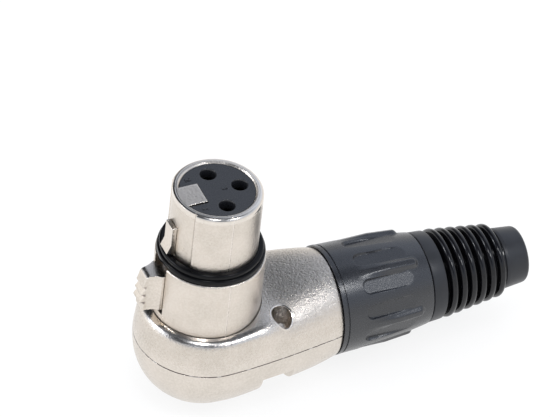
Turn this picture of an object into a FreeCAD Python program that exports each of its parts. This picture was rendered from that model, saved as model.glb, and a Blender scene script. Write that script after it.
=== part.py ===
import FreeCAD, Part
import math
import os
import re
import Sketcher
from FreeCAD import Placement, Rotation, Vector

# Right-angle cable plug with three female contacts.
# Every piece is drawn with z = 0 on the axis of the cable outlet, then lowered by
# the face's height, so that the origin ends up in the middle of the mating face.

DRIVING_SIZES = {
    # shell, from the outlet's axis up
    "shoulder_height": 7.1,
    "sleeve_height": 11.7,
    "barrel_length": 13.9,
    "rim_proud": 0.25,
    "rim_round": 0.75,
    "barrel_radius": 8.0,
    "barrel_wall": 1.4,
    "sleeve_step": 1.57,
    "sleeve_wall": 1.87,
    "shoulder_wall": 1.6,
    "flange_height": 1.4,
    "channel_depth": 0.35,
    "channel_half_angle": 39.5,
    # rubber ring on the sleeve's shoulder
    "ring_height": 2.1,
    "ring_reach": 1.35,
    "ring_round": 0.35,
    # key block and latch
    "key_inner": 2.85,
    "key_half_width": 2.3,
    "key_depth": 3.6,
    "hinge_inset": 0.8,
    "hinge_drop": 2.4,
    "hinge_bead": 0.85,
    "arm_inset": 0.25,
    "arm_thickness": 1.1,
    "arm_half_width": 1.35,
    "hook_rise": 0.35,
    "hook_body": 1.7,
    "hook_tail": 3.8,
    "hook_reach": 1.1,
    "hook_proud": 0.43,
    "tab_drop": 1.7,
    "tab_height": 7.7,
    "tab_reach": 2.58,
    "tab_inset": 0.9,
    "tab_half_width": 2.2,
    "tab_flare": 3.65,
    "tab_pitch": 1.7,
    "tab_step": 0.3,
    "tab_lean": 0.165,
    "slot_room": 1.1,
    "spring_radius": 0.95,
    "spring_wire": 0.28,
    "spring_turns": 4,
    "spring_pocket": 0.8,
    # inserts and contacts
    "contact_share": 0.621,
    "pin_radius": 1.2,
    "guide_play": 0.1,
    "mouth_flare": 0.175,
    "guide_depth": 1.9,
    "socket_depth": 9.6,
    "socket_wall": 0.48,
    "contact_lip": 0.32,
    "contact_step": 1.0,
    "joint_rise": 2.2,
    "rear_flange": 2.0,
    "boss_wall": 0.35,
    "boss_length": 2.2,
    "cup_radius": 1.55,
    "cup_bore": 0.95,
    "cup_reach": 4.2,
    "cup_depth": 3.2,
    "lug_thickness": 0.45,
    "lug_width": 2.2,
    "lug_reach": 6.2,
    # housing halves
    "crest_reach": 2.45,
    "bowl_depth": 12.6,
    "neck_step": 0.4,
    "neck_end": 22.6,
    "housing_wall": 1.7,
    "ledge_wall": 2.1,
    "parting_gap": 0.06,
    "spigot_length": 10.8,
    "spigot_wall": 2.0,
    "bore_start": 16.0,
    "wire_channel": 4.8,
    "seat_ring_wall": 1.2,
    # housing screws
    "screw_inset": 1.12,
    "screw_edge": 4.02,
    "well_radius": 1.825,
    "well_floor": 2.4,
    "screw_shank": 1.2,
    "screw_tip": 0.9,
    "head_radius": 1.7,
    "head_height": 1.4,
    "head_seat": 3.9,
    "notch_start": 7.1,
    "notch_length": 6.3,
    "notch_inner": 4.9,
    "notch_floor": 4.1,
    "notch_wall": 0.8,
    "recess_length": 2.1,
    "recess_width": 0.5,
    # chuck
    "chuck_tail": 3.8,
    "chuck_wall": 1.0,
    "cable_play": 0.4,
    "chuck_slot": 1.0,
    "slot_start": 27.0,
    # collar nut
    "collar_length": 17.85,
    "collar_radius": 9.8,
    "collar_wall": 1.8,
    "collar_taper": 1.6,
    "collar_belly": 0.35,
    "lip_length": 0.75,
    "lip_groove": 0.15,
    "rib_count": 6,
    "rib_turn": 25.0,
    "rib_lead": 2.45,
    "rib_crown": 10.25,
    "rib_fall": 0.55,
    "rib_half_width": 1.1,
    "rib_clear": 2.0,
    "pill_offset": 14.0,
    "pill_half_width": 1.3,
    "pill_lead": 4.45,
    "pill_depth": 0.75,
    "cone_step": 0.6,
    "tail_rim": 2.3,
    "tail_wall": 2.0,
    # boot
    "band_step": 0.1,
    "band_taper": 0.2,
    "band_length": 2.7,
    "boot_core": 5.2,
    "boot_rings": 6,
    "bead_width": 1.2,
    "first_bead": 7.9,
    "last_bead": 6.6,
    "lead_share": 0.75,
    "tail_share": 0.65,
    "rings_length": 12.55,
    "cap_length": 4.6,
    "cap_radius": 5.4,
    "cap_tip": 5.0,
    "cap_round": 0.9,
    "cable_radius": 3.5,
    "cable_bore": 8.0,
    "bore_cone": 1.6,
    # clearances
    "seat_gap": 0.05,
    "running_gap": 0.06,
    "sliding_gap": 0.15,
}

doc = FreeCAD.newDocument("RightAnglePlug")
sheet = doc.addObject("Spreadsheet::Sheet", "Sizes")
for row, (alias, value) in enumerate(DRIVING_SIZES.items(), start=1):
    sheet.set(f"A{row}", alias)
    sheet.set(f"B{row}", str(value))
    sheet.setAlias(f"B{row}", alias)
doc.recompute()

# Heights and radii that several pieces share, worked out from the driving sizes.
RING_SEAT = "(shoulder_height + sleeve_height)"
FACE = "(shoulder_height + sleeve_height + barrel_length)"
RIM = f"({FACE} + rim_proud)"
STEP = f"({RING_SEAT} - shoulder_wall)"
BARREL_BORE = "(barrel_radius - barrel_wall)"
SLEEVE_RADIUS = "(barrel_radius + sleeve_step)"
SLEEVE_BORE = f"({SLEEVE_RADIUS} - sleeve_wall)"
RING_RADIUS = "(barrel_radius + ring_reach)"
ROUND_END = f"({SLEEVE_RADIUS} + crest_reach)"
LEDGE = "(shoulder_height - ledge_wall)"
CAVITY = f"({ROUND_END} - housing_wall)"
FLANGE_RADIUS = f"({CAVITY} - 2 * seat_gap)"
FLANGE_LOW = f"({LEDGE} - flange_height)"
KEY_LOW = f"({RIM} - key_depth)"
HINGE_REACH = f"({BARREL_BORE} - hinge_inset)"
HINGE_HEIGHT = f"({FACE} - hinge_drop)"
ARM_OUTER = f"({BARREL_BORE} - arm_inset)"
ARM_INNER = f"({ARM_OUTER} - arm_thickness)"
ARM_WAY = "(2 * (arm_half_width + sliding_gap))"
HOOK_FOOT = f"({RING_SEAT} + ring_height + hook_rise)"
HOOK_LOW = f"({HOOK_FOOT} + hook_rise)"
HOOK_SHELF = f"({HOOK_LOW} + hook_body)"
HOOK_TOP = f"({HOOK_SHELF} + hook_tail)"
TAB_REACH = f"({SLEEVE_RADIUS} + tab_reach)"
TAB_INNER = f"({SLEEVE_BORE} + tab_inset)"
TAB_TOP = f"({RING_SEAT} - tab_drop)"
TAB_BOTTOM = f"({TAB_TOP} - tab_height)"
SLOT_EDGE = "(key_inner - sliding_gap)"
SLOT_WIDTH = "(2 * (key_half_width + sliding_gap))"
INSERT_RADIUS = f"({BARREL_BORE} - seat_gap)"
INSERT_JOINT = f"({STEP} + joint_rise)"
CONTACT_CIRCLE = f"({BARREL_BORE} * contact_share)"
CONTACT_TOP = f"({FACE} - guide_depth - seat_gap)"
SOCKET_RADIUS = "(pin_radius + socket_wall)"
CONTACT_FLANGE = f"({SOCKET_RADIUS} + contact_lip)"
GUIDE_RADIUS = "(pin_radius + guide_play)"
MOUTH_DEPTH = "(2 * mouth_flare)"
REAR_LOW = f"({STEP} - rear_flange)"
REAR_SEAT = f"({SLEEVE_BORE} - seat_gap)"
BOSS_LOW = f"({REAR_LOW} - boss_length)"
CUP_LOW = f"({BOSS_LOW} - cup_reach)"
REAR_BOSS = f"({CONTACT_CIRCLE} + cup_radius + boss_wall)"
LUG_BORE = f"({REAR_BOSS} + 2 * seat_gap)"
SCREW_ALONG = f"({ROUND_END} - screw_inset)"
SCREW_ACROSS = f"({ROUND_END} - screw_edge)"
NECK_RADIUS = "(collar_radius - neck_step)"
SPIGOT_RADIUS = "(collar_radius - collar_wall)"
SPIGOT_BORE = f"({SPIGOT_RADIUS} - spigot_wall)"
SPIGOT_END = "(neck_end + spigot_length)"
CHUCK_RADIUS = f"({SPIGOT_BORE} - 2 * seat_gap)"
CHUCK_START = "(bore_start + chuck_wall)"
CHUCK_END = f"({SPIGOT_END} + chuck_tail)"
CHUCK_BORE = "(cable_radius + cable_play)"
CHUCK_TIP = f"({CHUCK_BORE} + chuck_wall)"
COLLAR_START = "(neck_end + sliding_gap)"
COLLAR_END = f"({COLLAR_START} + collar_length)"
COLLAR_STEP = f"({SPIGOT_END} + 2 * sliding_gap)"
COLLAR_WALL = f"({COLLAR_END} - tail_wall)"
COLLAR_TAIL = "(collar_radius - collar_taper)"
CONE_BORE = f"({SPIGOT_RADIUS} - cone_step)"
TAIL_BORE = f"({COLLAR_TAIL} - tail_rim)"
LIP_END = f"({COLLAR_START} + lip_length)"
RIB_START = f"({COLLAR_START} + rib_lead)"
RIB_END = f"({COLLAR_END} - rib_clear)"
RIB_FLOOR = f"({SPIGOT_RADIUS} + 2 * sliding_gap)"
PILL_START = f"({COLLAR_START} + pill_lead)"
PILL_FLOOR = "(collar_radius - pill_depth)"
BAND_RADIUS = f"({COLLAR_TAIL} - band_step)"
BAND_START = f"({COLLAR_END} + sliding_gap)"
BAND_END = f"({BAND_START} + band_length)"
CAP_START = f"({BAND_END} + rings_length)"
BOOT_END = f"({CAP_START} + cap_length)"


def bound(text):
    """Expression text with every size name tied to the sheet."""
    return re.sub(r"\b([a-z]+_[a-z_]+)\b", r"Sizes.\1", text)


def size(text):
    """Present value of an expression in the sheet's size names."""
    return float(sheet.evalExpression(text))


def tie(thing, **expressions):
    """Bind properties of a thing to expressions in the sheet's size names."""
    for name, text in expressions.items():
        thing.setExpression(name, bound(text))


def put(thing, x="0", y="0", z="0", axis=Vector(0, 0, 1), angle=0.0):
    """Turn a thing about an axis through its own origin and place it by expressions."""
    thing.Placement = Placement(Vector(), Rotation(axis, angle))
    for letter, text in zip("xyz", (x, y, z)):
        thing.setExpression(f"Placement.Base.{letter}", bound(text))


def lower(thing):
    """Bring a finished piece from the outlet's height to the mating face's height."""
    tie(thing, **{"Placement.Base.z": f"-{FACE}"})


def new_body(name):
    body = doc.addObject("PartDesign::Body", name)
    body.Label = name
    return body


def outline(body, name, plane, corners):
    """Closed sketch through corners, each two expressions, on one of the body's planes.
    A third entry is the rise of an arc that leads to the corner, to the left of the way."""
    sketch = body.newObject("Sketcher::SketchObject", name)
    support = [item for item in body.Origin.OriginFeatures if item.Role == plane]
    sketch.AttachmentSupport = [(support[0], "")]
    sketch.MapMode = "FlatFace"
    points = [Vector(size(corner[0]), size(corner[1]), 0) for corner in corners]
    ends = []
    for index, start in enumerate(points):
        following = (index + 1) % len(points)
        end = points[following]
        if len(corners[following]) == 3:
            way = end - start
            left = Vector(-way.y, way.x, 0).normalize()
            rise = size(corners[following][2])
            middle = (start + end) * 0.5 + left * rise
            # a sketch keeps its arcs counter-clockwise, so one that rises is drawn backwards
            sketch.addGeometry(
                Part.Arc(end, middle, start) if rise > 0 else Part.Arc(start, middle, end))
            ends.append((2, 1) if rise > 0 else (1, 2))
            sketch.addConstraint(
                Sketcher.Constraint("Radius", index, sketch.Geometry[index].Radius))
        else:
            sketch.addGeometry(Part.LineSegment(start, end))
            ends.append((1, 2))
    for index, corner in enumerate(corners):
        following = (index + 1) % len(corners)
        sketch.addConstraint(Sketcher.Constraint(
            "Coincident", index, ends[index][1], following, ends[following][0]))
        for kind, text in zip(("DistanceX", "DistanceY"), corner[:2]):
            place = sketch.addConstraint(Sketcher.Constraint(
                kind, -1, 1, index, ends[index][0], size(text)))
            sketch.setExpression(f"Constraints[{place}]", bound(text))
    return sketch


def ring_outline(body, name, plane, x, y, radius):
    """Sketch of one circle on one of the body's planes."""
    sketch = body.newObject("Sketcher::SketchObject", name)
    support = [item for item in body.Origin.OriginFeatures if item.Role == plane]
    sketch.AttachmentSupport = [(support[0], "")]
    sketch.MapMode = "FlatFace"
    sketch.addGeometry(Part.Circle(Vector(size(x), size(y), 0), Vector(0, 0, 1), size(radius)))
    for kind, text in (("DistanceX", x), ("DistanceY", y)):
        place = sketch.addConstraint(Sketcher.Constraint(kind, -1, 1, 0, 3, size(text)))
        sketch.setExpression(f"Constraints[{place}]", bound(text))
    place = sketch.addConstraint(Sketcher.Constraint("Radius", 0, size(radius)))
    sketch.setExpression(f"Constraints[{place}]", bound(radius))
    return sketch


def box_corners(x_low, x_high, z_low, z_high):
    return [(x_low, z_low), (x_high, z_low), (x_high, z_high), (x_low, z_high)]


def turn(body, name, corners, axis="V_Axis"):
    """Solid of revolution about a sketch axis of the body's XZ plane."""
    sketch = outline(body, f"{name}_outline", "XZ_Plane", corners)
    feature = body.newObject("PartDesign::Revolution", name)
    feature.Profile = sketch
    feature.ReferenceAxis = (sketch, [axis])
    feature.Angle = 360.0
    return feature


def across(body, kind, name, sketch, width):
    """Pad or Pocket that reaches equally far to both sides of its sketch."""
    feature = body.newObject(f"PartDesign::{kind}", name)
    feature.Profile = sketch
    feature.SideType = "Symmetric"
    tie(feature, Length=width)
    return feature


def pad(body, name, corners, width, plane="XZ_Plane"):
    return across(body, "Pad", name, outline(body, f"{name}_outline", plane, corners), width)


def pocket(body, name, corners, width, plane="XZ_Plane"):
    return across(body, "Pocket", name, outline(body, f"{name}_outline", plane, corners), width)


def soften(body, kind, name, reach, wanted):
    """Fillet or chamfer on those edges of the body's last feature that a test picks."""
    doc.recompute()
    base = body.Tip
    edges = [f"Edge{number}" for number, edge in enumerate(base.Shape.Edges, start=1)
             if wanted(edge)]
    feature = body.newObject(f"PartDesign::{kind}", name)
    feature.Base = (base, edges)
    tie(feature, **{"Radius" if kind == "Fillet" else "Size": reach})
    return feature


def full_circle(radius, height=None, along=None):
    """Test for a circular edge of a radius at a height in z, or at a place along x."""
    def wanted(edge):
        if not isinstance(edge.Curve, Part.Circle) or abs(edge.Curve.Radius - size(radius)) > 1e-4:
            return False
        centre = edge.Curve.Center
        return ((height is None or abs(centre.z - size(height)) < 1e-4)
                and (along is None or abs(centre.x - size(along)) < 1e-4))
    return wanted


def rod(name, radius, length, **place):
    """Cylinder primitive bound to the sheet."""
    thing = doc.addObject("Part::Cylinder", name)
    tie(thing, Radius=radius, Height=length)
    put(thing, **place)
    return thing


def block(name, length, width, height, **place):
    """Box primitive bound to the sheet."""
    thing = doc.addObject("Part::Box", name)
    tie(thing, Length=length, Width=width, Height=height)
    put(thing, **place)
    return thing


def cut(name, base, tools):
    """Base less all tools."""
    joined = tools[0]
    if len(tools) > 1:
        joined = doc.addObject("Part::MultiFuse", f"{name}_tools")
        joined.Shapes = tools
    thing = doc.addObject("Part::Cut", name)
    thing.Base = base
    thing.Tool = joined
    thing.Label = name
    return thing


def fuse(name, shapes):
    joined = doc.addObject("Part::MultiFuse", name)
    joined.Shapes = shapes
    return joined


ALONG = dict(axis=Vector(0, 1, 0), angle=90.0)
NODES = []


def finish(node):
    """Lower a finished piece and list it for the export."""
    lower(node)
    NODES.append(node)


# Shell: barrel, shoulder, sleeve and foot flange are one turned form, with the key block
# cast inside its mouth.
shell = new_body("shell")
turn(shell, "shell_form", [
    (BARREL_BORE, RIM),
    (BARREL_BORE, STEP),
    (SLEEVE_BORE, STEP),
    (SLEEVE_BORE, FLANGE_LOW),
    (FLANGE_RADIUS, FLANGE_LOW),
    (FLANGE_RADIUS, LEDGE),
    (SLEEVE_RADIUS, LEDGE),
    (SLEEVE_RADIUS, RING_SEAT),
    ("barrel_radius", RING_SEAT),
    ("barrel_radius", RIM),
])
soften(shell, "Fillet", "rim_rounding", "rim_round", full_circle("barrel_radius", RIM))
soften(shell, "Chamfer", "rim_bevel", "rim_proud", full_circle(BARREL_BORE, RIM))
soften(shell, "Fillet", "shoulder_rounding", "rim_proud", full_circle(SLEEVE_RADIUS, RING_SEAT))
channel = outline(shell, "key_channel_outline", "XZ_Plane", box_corners(
    "-(barrel_radius + ring_height)", "-(barrel_radius - channel_depth)",
    RING_SEAT, f"{RIM} + ring_height"))
key_channel = shell.newObject("PartDesign::Groove", "key_channel")
key_channel.Profile = channel
key_channel.ReferenceAxis = (channel, ["V_Axis"])
key_channel.Midplane = True
tie(key_channel, Angle="2 * channel_half_angle")
pad(shell, "key_block", box_corners(
    f"-({BARREL_BORE} + 2 * sliding_gap)", "-key_inner", KEY_LOW, RIM), "2 * key_half_width")
across(shell, "Pocket", "hinge_socket",
       ring_outline(shell, "hinge_socket_outline", "XZ_Plane", f"-{HINGE_REACH}", HINGE_HEIGHT,
                    "hinge_bead + seat_gap"), ARM_WAY)
pocket(shell, "hinge_throat", box_corners(
    f"-({HINGE_REACH} + hinge_bead)", f"-({HINGE_REACH} - hinge_bead - 2 * sliding_gap)",
    f"{KEY_LOW} - seat_gap", HINGE_HEIGHT), ARM_WAY)
pocket(shell, "hook_window", box_corners(
    "-(barrel_radius + hook_reach)", f"-({BARREL_BORE} - sliding_gap)",
    f"{HOOK_FOOT} - 2 * sliding_gap", f"{HOOK_TOP} + sliding_gap"), ARM_WAY)
pocket(shell, "tab_slot", box_corners(
    f"-({SLEEVE_RADIUS} + tab_reach)", f"-({SLEEVE_BORE} - 3 * sliding_gap)",
    f"{TAB_BOTTOM} - slot_room", f"{RING_SEAT} + seat_gap"), "2 * (tab_half_width + sliding_gap)")
finish(shell)

# Rubber ring: two beads, the lower one wider, on the shoulder between barrel and sleeve.
RING_TOP = f"({RING_SEAT} + ring_height)"
RING_MIDDLE = f"({RING_SEAT} + ring_height / 2)"
ring_gasket = new_body("ring_gasket")
turn(ring_gasket, "ring_form", [
    ("barrel_radius + seat_gap", f"{RING_SEAT} + seat_gap"),
    (RING_RADIUS, f"{RING_SEAT} + seat_gap"),
    (RING_RADIUS, RING_MIDDLE),
    (f"{RING_RADIUS} - ring_round", RING_MIDDLE),
    (f"{RING_RADIUS} - ring_round", RING_TOP),
    ("barrel_radius + seat_gap", RING_TOP),
])
soften(ring_gasket, "Fillet", "lower_bead", "0.9 * ring_round", full_circle(RING_RADIUS, RING_MIDDLE))
soften(ring_gasket, "Fillet", "upper_bead", "1.2 * ring_round",
       full_circle(f"{RING_RADIUS} - ring_round", RING_TOP))
finish(ring_gasket)

# Places of the three contacts round the face, and the way each cup opens: two beside the
# key, one opposite it.
CONTACT_PLACES = {
    "contact_1": ("0", CONTACT_CIRCLE, 90.0),
    "contact_2": ("0", f"-{CONTACT_CIRCLE}", -90.0),
    "contact_3": (CONTACT_CIRCLE, "0", 0.0),
}

# Front insert: moulded disc with the three guide holes and a slot for key block and latch.
SPRING_HEIGHT = f"(({INSERT_JOINT} + {KEY_LOW}) / 2)"
front = new_body("front_blank")
turn(front, "front_form", [
    ("0", INSERT_JOINT), (INSERT_RADIUS, INSERT_JOINT), (INSERT_RADIUS, FACE), ("0", FACE)])
pocket(front, "front_slot", box_corners(
    "-barrel_radius", f"-{SLOT_EDGE}", f"{INSERT_JOINT} - seat_gap", f"{FACE} + seat_gap"), SLOT_WIDTH)
front_tools = [rod("spring_pocket_tool", "spring_radius + spring_wire + sliding_gap",
                   "spring_pocket + key_inner", x=f"-({SLOT_EDGE} + key_inner)", z=SPRING_HEIGHT, **ALONG)]
for name, (x, y, _) in CONTACT_PLACES.items():
    front_tools.append(rod(f"{name}_guide", GUIDE_RADIUS, FACE, x=x, y=y))
    front_tools.append(rod(f"{name}_socket", f"{SOCKET_RADIUS} + seat_gap",
                           f"{FACE} - guide_depth", x=x, y=y))
    mouth = doc.addObject("Part::Cone", f"{name}_mouth")
    tie(mouth, Radius1=GUIDE_RADIUS, Radius2=f"{GUIDE_RADIUS} + mouth_flare", Height=MOUTH_DEPTH)
    put(mouth, x=x, y=y, z=f"{FACE} - {MOUTH_DEPTH}")
    front_tools.append(mouth)
insert_front = cut("insert_front", front, front_tools)
finish(insert_front)

# Rear insert: stepped disc that holds the contacts by their flanges from behind.
rear = new_body("rear_blank")
turn(rear, "rear_form", [
    ("0", BOSS_LOW),
    (REAR_BOSS, BOSS_LOW),
    (REAR_BOSS, REAR_LOW),
    (REAR_SEAT, REAR_LOW),
    (REAR_SEAT, STEP),
    (INSERT_RADIUS, STEP),
    (INSERT_RADIUS, INSERT_JOINT),
    ("0", INSERT_JOINT),
])
pocket(rear, "rear_slot", box_corners(
    f"-{SLEEVE_RADIUS}", f"-{SLOT_EDGE}", f"{BOSS_LOW} - seat_gap", f"{INSERT_JOINT} + seat_gap"), SLOT_WIDTH)
rear_tools = []
for name, (x, y, _) in CONTACT_PLACES.items():
    rear_tools.append(rod(f"{name}_shank", "cup_radius + seat_gap", INSERT_JOINT, x=x, y=y, z="seat_gap"))
    rear_tools.append(rod(f"{name}_recess", f"{CONTACT_FLANGE} + seat_gap", "contact_step + seat_gap",
                          x=x, y=y, z=f"{INSERT_JOINT} - contact_step"))
insert_rear = cut("insert_rear", rear, rear_tools)
finish(insert_rear)

# Contacts: turned sockets with a collar and a solder cup that is open on its outer side.
for name, (x, y, heading) in CONTACT_PLACES.items():
    contact = new_body(name)
    turn(contact, "turned_form", [
        ("pin_radius", CONTACT_TOP),
        (SOCKET_RADIUS, CONTACT_TOP),
        (SOCKET_RADIUS, f"{INSERT_JOINT} - seat_gap"),
        (CONTACT_FLANGE, f"{INSERT_JOINT} - seat_gap"),
        (CONTACT_FLANGE, f"{INSERT_JOINT} - contact_step"),
        ("cup_radius", f"{INSERT_JOINT} - contact_step"),
        ("cup_radius", CUP_LOW),
        ("cup_bore", CUP_LOW),
        ("cup_bore", f"{CUP_LOW} + cup_depth"),
        ("0", f"{CUP_LOW} + cup_depth"),
        ("0", f"{CONTACT_TOP} - socket_depth"),
        ("pin_radius", f"{CONTACT_TOP} - socket_depth"),
    ])
    pocket(contact, "cup_mouth", box_corners(
        "cup_bore / 3", "2 * cup_radius", f"{CUP_LOW} - cup_radius", f"{CUP_LOW} + 0.75 * cup_depth"),
        "3 * cup_radius")
    put(contact, x=x, y=y, z=f"-{FACE}", angle=heading)
    NODES.append(contact)

# Earth lug: thin open ring behind the rear insert's flange, with a tail for the screen.
lug = new_body("earth_lug")
turn(lug, "lug_ring", box_corners(LUG_BORE, REAR_SEAT, f"{REAR_LOW} - lug_thickness", REAR_LOW))
pocket(lug, "latch_gap", box_corners(f"-{SLEEVE_RADIUS}", "0", f"{REAR_LOW} - 2 * lug_thickness", STEP),
       f"{SLOT_WIDTH} + 2 * sliding_gap")
pad(lug, "lug_tail", box_corners(
    LUG_BORE, f"{LUG_BORE} + lug_thickness", f"{REAR_LOW} - lug_reach", REAR_LOW), "lug_width")
finish(lug)

# Latch lever: bead, arm, sprung hook and thumb tab in one casting. The tab has stepped
# grips that lean outwards and concave flanks that flare towards the sleeve.
ARM_FOOT = f"({TAB_TOP} - arm_thickness - 2 * tab_step)"
lever = new_body("lever_blank")
pad(lever, "lever_arm", [
    (f"-{ARM_INNER}", HINGE_HEIGHT),
    (f"-{ARM_OUTER}", HINGE_HEIGHT),
    (f"-{ARM_OUTER}", HOOK_TOP),
    ("-(barrel_radius + hook_proud)", HOOK_TOP),
    ("-(barrel_radius + hook_proud)", HOOK_SHELF),
    ("-(barrel_radius + hook_reach)", HOOK_LOW),
    ("-barrel_radius", HOOK_FOOT),
    (f"-{ARM_OUTER}", HOOK_FOOT),
    (f"-{ARM_OUTER}", TAB_TOP),
    (f"-{TAB_INNER}", TAB_TOP),
    (f"-{TAB_INNER}", ARM_FOOT),
    (f"-{ARM_INNER}", ARM_FOOT),
], "2 * arm_half_width")
across(lever, "Pad", "hinge_bead_pad",
       ring_outline(lever, "hinge_bead_outline", "XZ_Plane", f"-{HINGE_REACH}", HINGE_HEIGHT, "hinge_bead"),
       "2 * arm_half_width")
steps = [
    (f"-{TAB_INNER}", TAB_BOTTOM),
    (f"-{TAB_INNER}", TAB_TOP),
    (f"-({TAB_REACH} - 2 * tab_step)", TAB_TOP),
    (f"-({TAB_REACH} + tab_step)", f"{TAB_TOP} - 2 * tab_step", "-tab_step / 2"),
]
for count in range(1, 4):
    crest = f"({TAB_REACH} + {count + 1} * tab_lean)"
    level = f"({TAB_TOP} - 2 * tab_step - {count} * tab_pitch)"
    steps.append((f"-({crest} + 2 * tab_lean)", f"{level} + tab_step"))
    steps.append((f"-({crest} + 3 * tab_lean)", level))
    steps.append((f"-({crest} + tab_lean)", f"{level} - tab_step"))
steps.append((f"-({TAB_REACH} + 3 * tab_lean)", TAB_BOTTOM))
pad(lever, "thumb_tab", steps, "2 * tab_half_width")
lever_tools = []
for side, sign in (("near", "-"), ("far", "")):
    lever_tools.append(rod(f"{side}_flare", "tab_flare", TAB_TOP,
                           x=f"-{TAB_REACH}", y=f"{sign}(arm_half_width + tab_flare)", z="tab_step"))
    lever_tools.append(block(f"{side}_trim", "2 * tab_flare", "tab_flare", TAB_TOP,
                             x=f"-({TAB_REACH} + 2 * tab_flare)",
                             y="arm_half_width" if side == "far" else "-(arm_half_width + tab_flare)",
                             z="tab_step"))
latch_lever = cut("latch_lever", lever, lever_tools)
finish(latch_lever)

# Latch spring: small coil between the arm and the floor of the insert's pocket.
SPRING_SPACE = f"({ARM_INNER} - {SLOT_EDGE} + spring_pocket)"
SPRING_LENGTH = f"({SPRING_SPACE} - spring_wire - 2 * seat_gap)"
coil = doc.addObject("Part::Helix", "spring_coil")
tie(coil, Radius="spring_radius", Height=SPRING_LENGTH, Pitch=f"{SPRING_LENGTH} / spring_turns")
coil.SegmentLength = 1.0  # one face for each turn
wire = doc.addObject("Part::Circle", "spring_wire_section")
tie(wire, Radius="spring_wire / 2")
put(wire, x="spring_radius", axis=Vector(1, 0, 0), angle=90.0)
doc.recompute()
latch_spring = doc.addObject("Part::Sweep", "latch_spring")
latch_spring.Label = "latch_spring"
latch_spring.Sections = [wire]
latch_spring.Spine = (coil, [f"Edge{number + 1}" for number in range(len(coil.Shape.Edges))])
latch_spring.Solid = True
latch_spring.Frenet = True
put(latch_spring, x=f"-{ARM_INNER} + spring_wire / 2 + seat_gap", z=f"{SPRING_HEIGHT} - {FACE}", **ALONG)
NODES.append(latch_spring)

# Section laws of the housing, each from the round end (share 0) to the neck (share 1).
CREST_POWER = 9.0
SADDLE_POWER = 0.9
CREST_SHARE = 0.36
CREST_LEAN = 0.09
BOWL_SHARE = 1 / 3
BOWL_POWER = 2.25
FLANK_POWER = 0.8
FLANK_SHIFT = 1.25
TAPER = 1.5
STATIONS = 8


def section_width(share):
    round_end = size(ROUND_END)
    return round_end + (size(NECK_RADIUS) - round_end) * share ** TAPER


def upper_section(share):
    """Upper half: a leaning wall and a sharp crest at the round end, which fade into a
    saddle that rises to the neck."""
    crest = math.exp(-(share / CREST_SHARE) ** 4)
    rise = math.sin(math.pi * share / 2) ** 2
    height = size("shoulder_height") + (size(NECK_RADIUS) - size("shoulder_height")) * rise
    power = 2 + (1 - share ** 3) * (SADDLE_POWER + CREST_POWER * crest)
    return section_width(share), height, power, CREST_LEAN * crest


def lower_section(share):
    """Lower half: a deep bowl, then soon the neck's radius, with full flanks between."""
    extra = (size("bowl_depth") - size(NECK_RADIUS)) * math.exp(-(share / BOWL_SHARE) ** 2)
    power = BOWL_POWER + FLANK_POWER * math.sin(math.pi * share ** FLANK_SHIFT)
    return section_width(share), -size(NECK_RADIUS) - extra, power, 0.0


def half_arch(place, width, height, power, lean):
    """Quarter of a rounded arch from the parting plane to the crown, in polar form. Wall
    and top both lean by the same slope, and meet in a corner that the power sharpens."""
    points = []
    top = abs(height) + lean * size(SLEEVE_RADIUS)
    for step in range(0, 91, 5):
        cosine = max(math.cos(math.radians(step)), 0.0)
        sine = math.sin(math.radians(step))
        wall_part = (cosine + lean * sine) / width
        top_part = (sine + lean * cosine) / top
        reach = (wall_part ** power + top_part ** power) ** (-1 / power)
        points.append(Vector(place, reach * cosine, math.copysign(reach * sine, height)))
    curve = Part.BSplineCurve()
    curve.interpolate(Points=points)
    return curve.toShape()


def housing_form(name, section):
    """Outer form of one housing half: half a turned round end, and a loft from its
    section to the neck."""
    mirror = FreeCAD.Matrix()
    mirror.A22 = -1
    wires = []
    for count in range(STATIONS + 1):
        share = count / STATIONS
        arch = half_arch(share * size("neck_end"), *section(share))
        other = arch.transformGeometry(mirror)
        foot = Part.makeLine(other.Vertexes[0].Point, arch.Vertexes[0].Point)
        wires.append(Part.Wire(Part.__sortEdges__([arch, other, foot])))
    neck = Part.makeLoft(wires, True, False)
    quarter = half_arch(0.0, *section(0))
    low, crown = quarter.Vertexes[0].Point, quarter.Vertexes[-1].Point
    centre = Vector(0, 0, 0)
    face = Part.Face(Part.Wire(Part.__sortEdges__(
        [quarter, Part.makeLine(crown, centre), Part.makeLine(centre, low)])))
    dome = face.revolve(centre, Vector(0, 0, 1), 180)
    form = doc.addObject("Part::Feature", name)
    form.Shape = dome.fuse(neck).removeSplitter()
    return form


def half_spigot(name, low):
    """Half of the threaded pipe that both housing halves carry, above a height."""
    pipe = rod(f"{name}_rod", SPIGOT_RADIUS, "spigot_length + neck_end / 2", x="neck_end / 2", **ALONG)
    trim = block(f"{name}_trim", "2 * neck_end + spigot_length", f"4 * {SPIGOT_RADIUS}",
                 f"2 * {SPIGOT_RADIUS}", y=f"-2 * {SPIGOT_RADIUS}", z=low)
    return cut(name, pipe, [trim])


SIDES = (("near", f"-{SCREW_ACROSS}"), ("far", SCREW_ACROSS))
BORE_LENGTH = f"({SPIGOT_END} - bore_start + housing_wall)"

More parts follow.
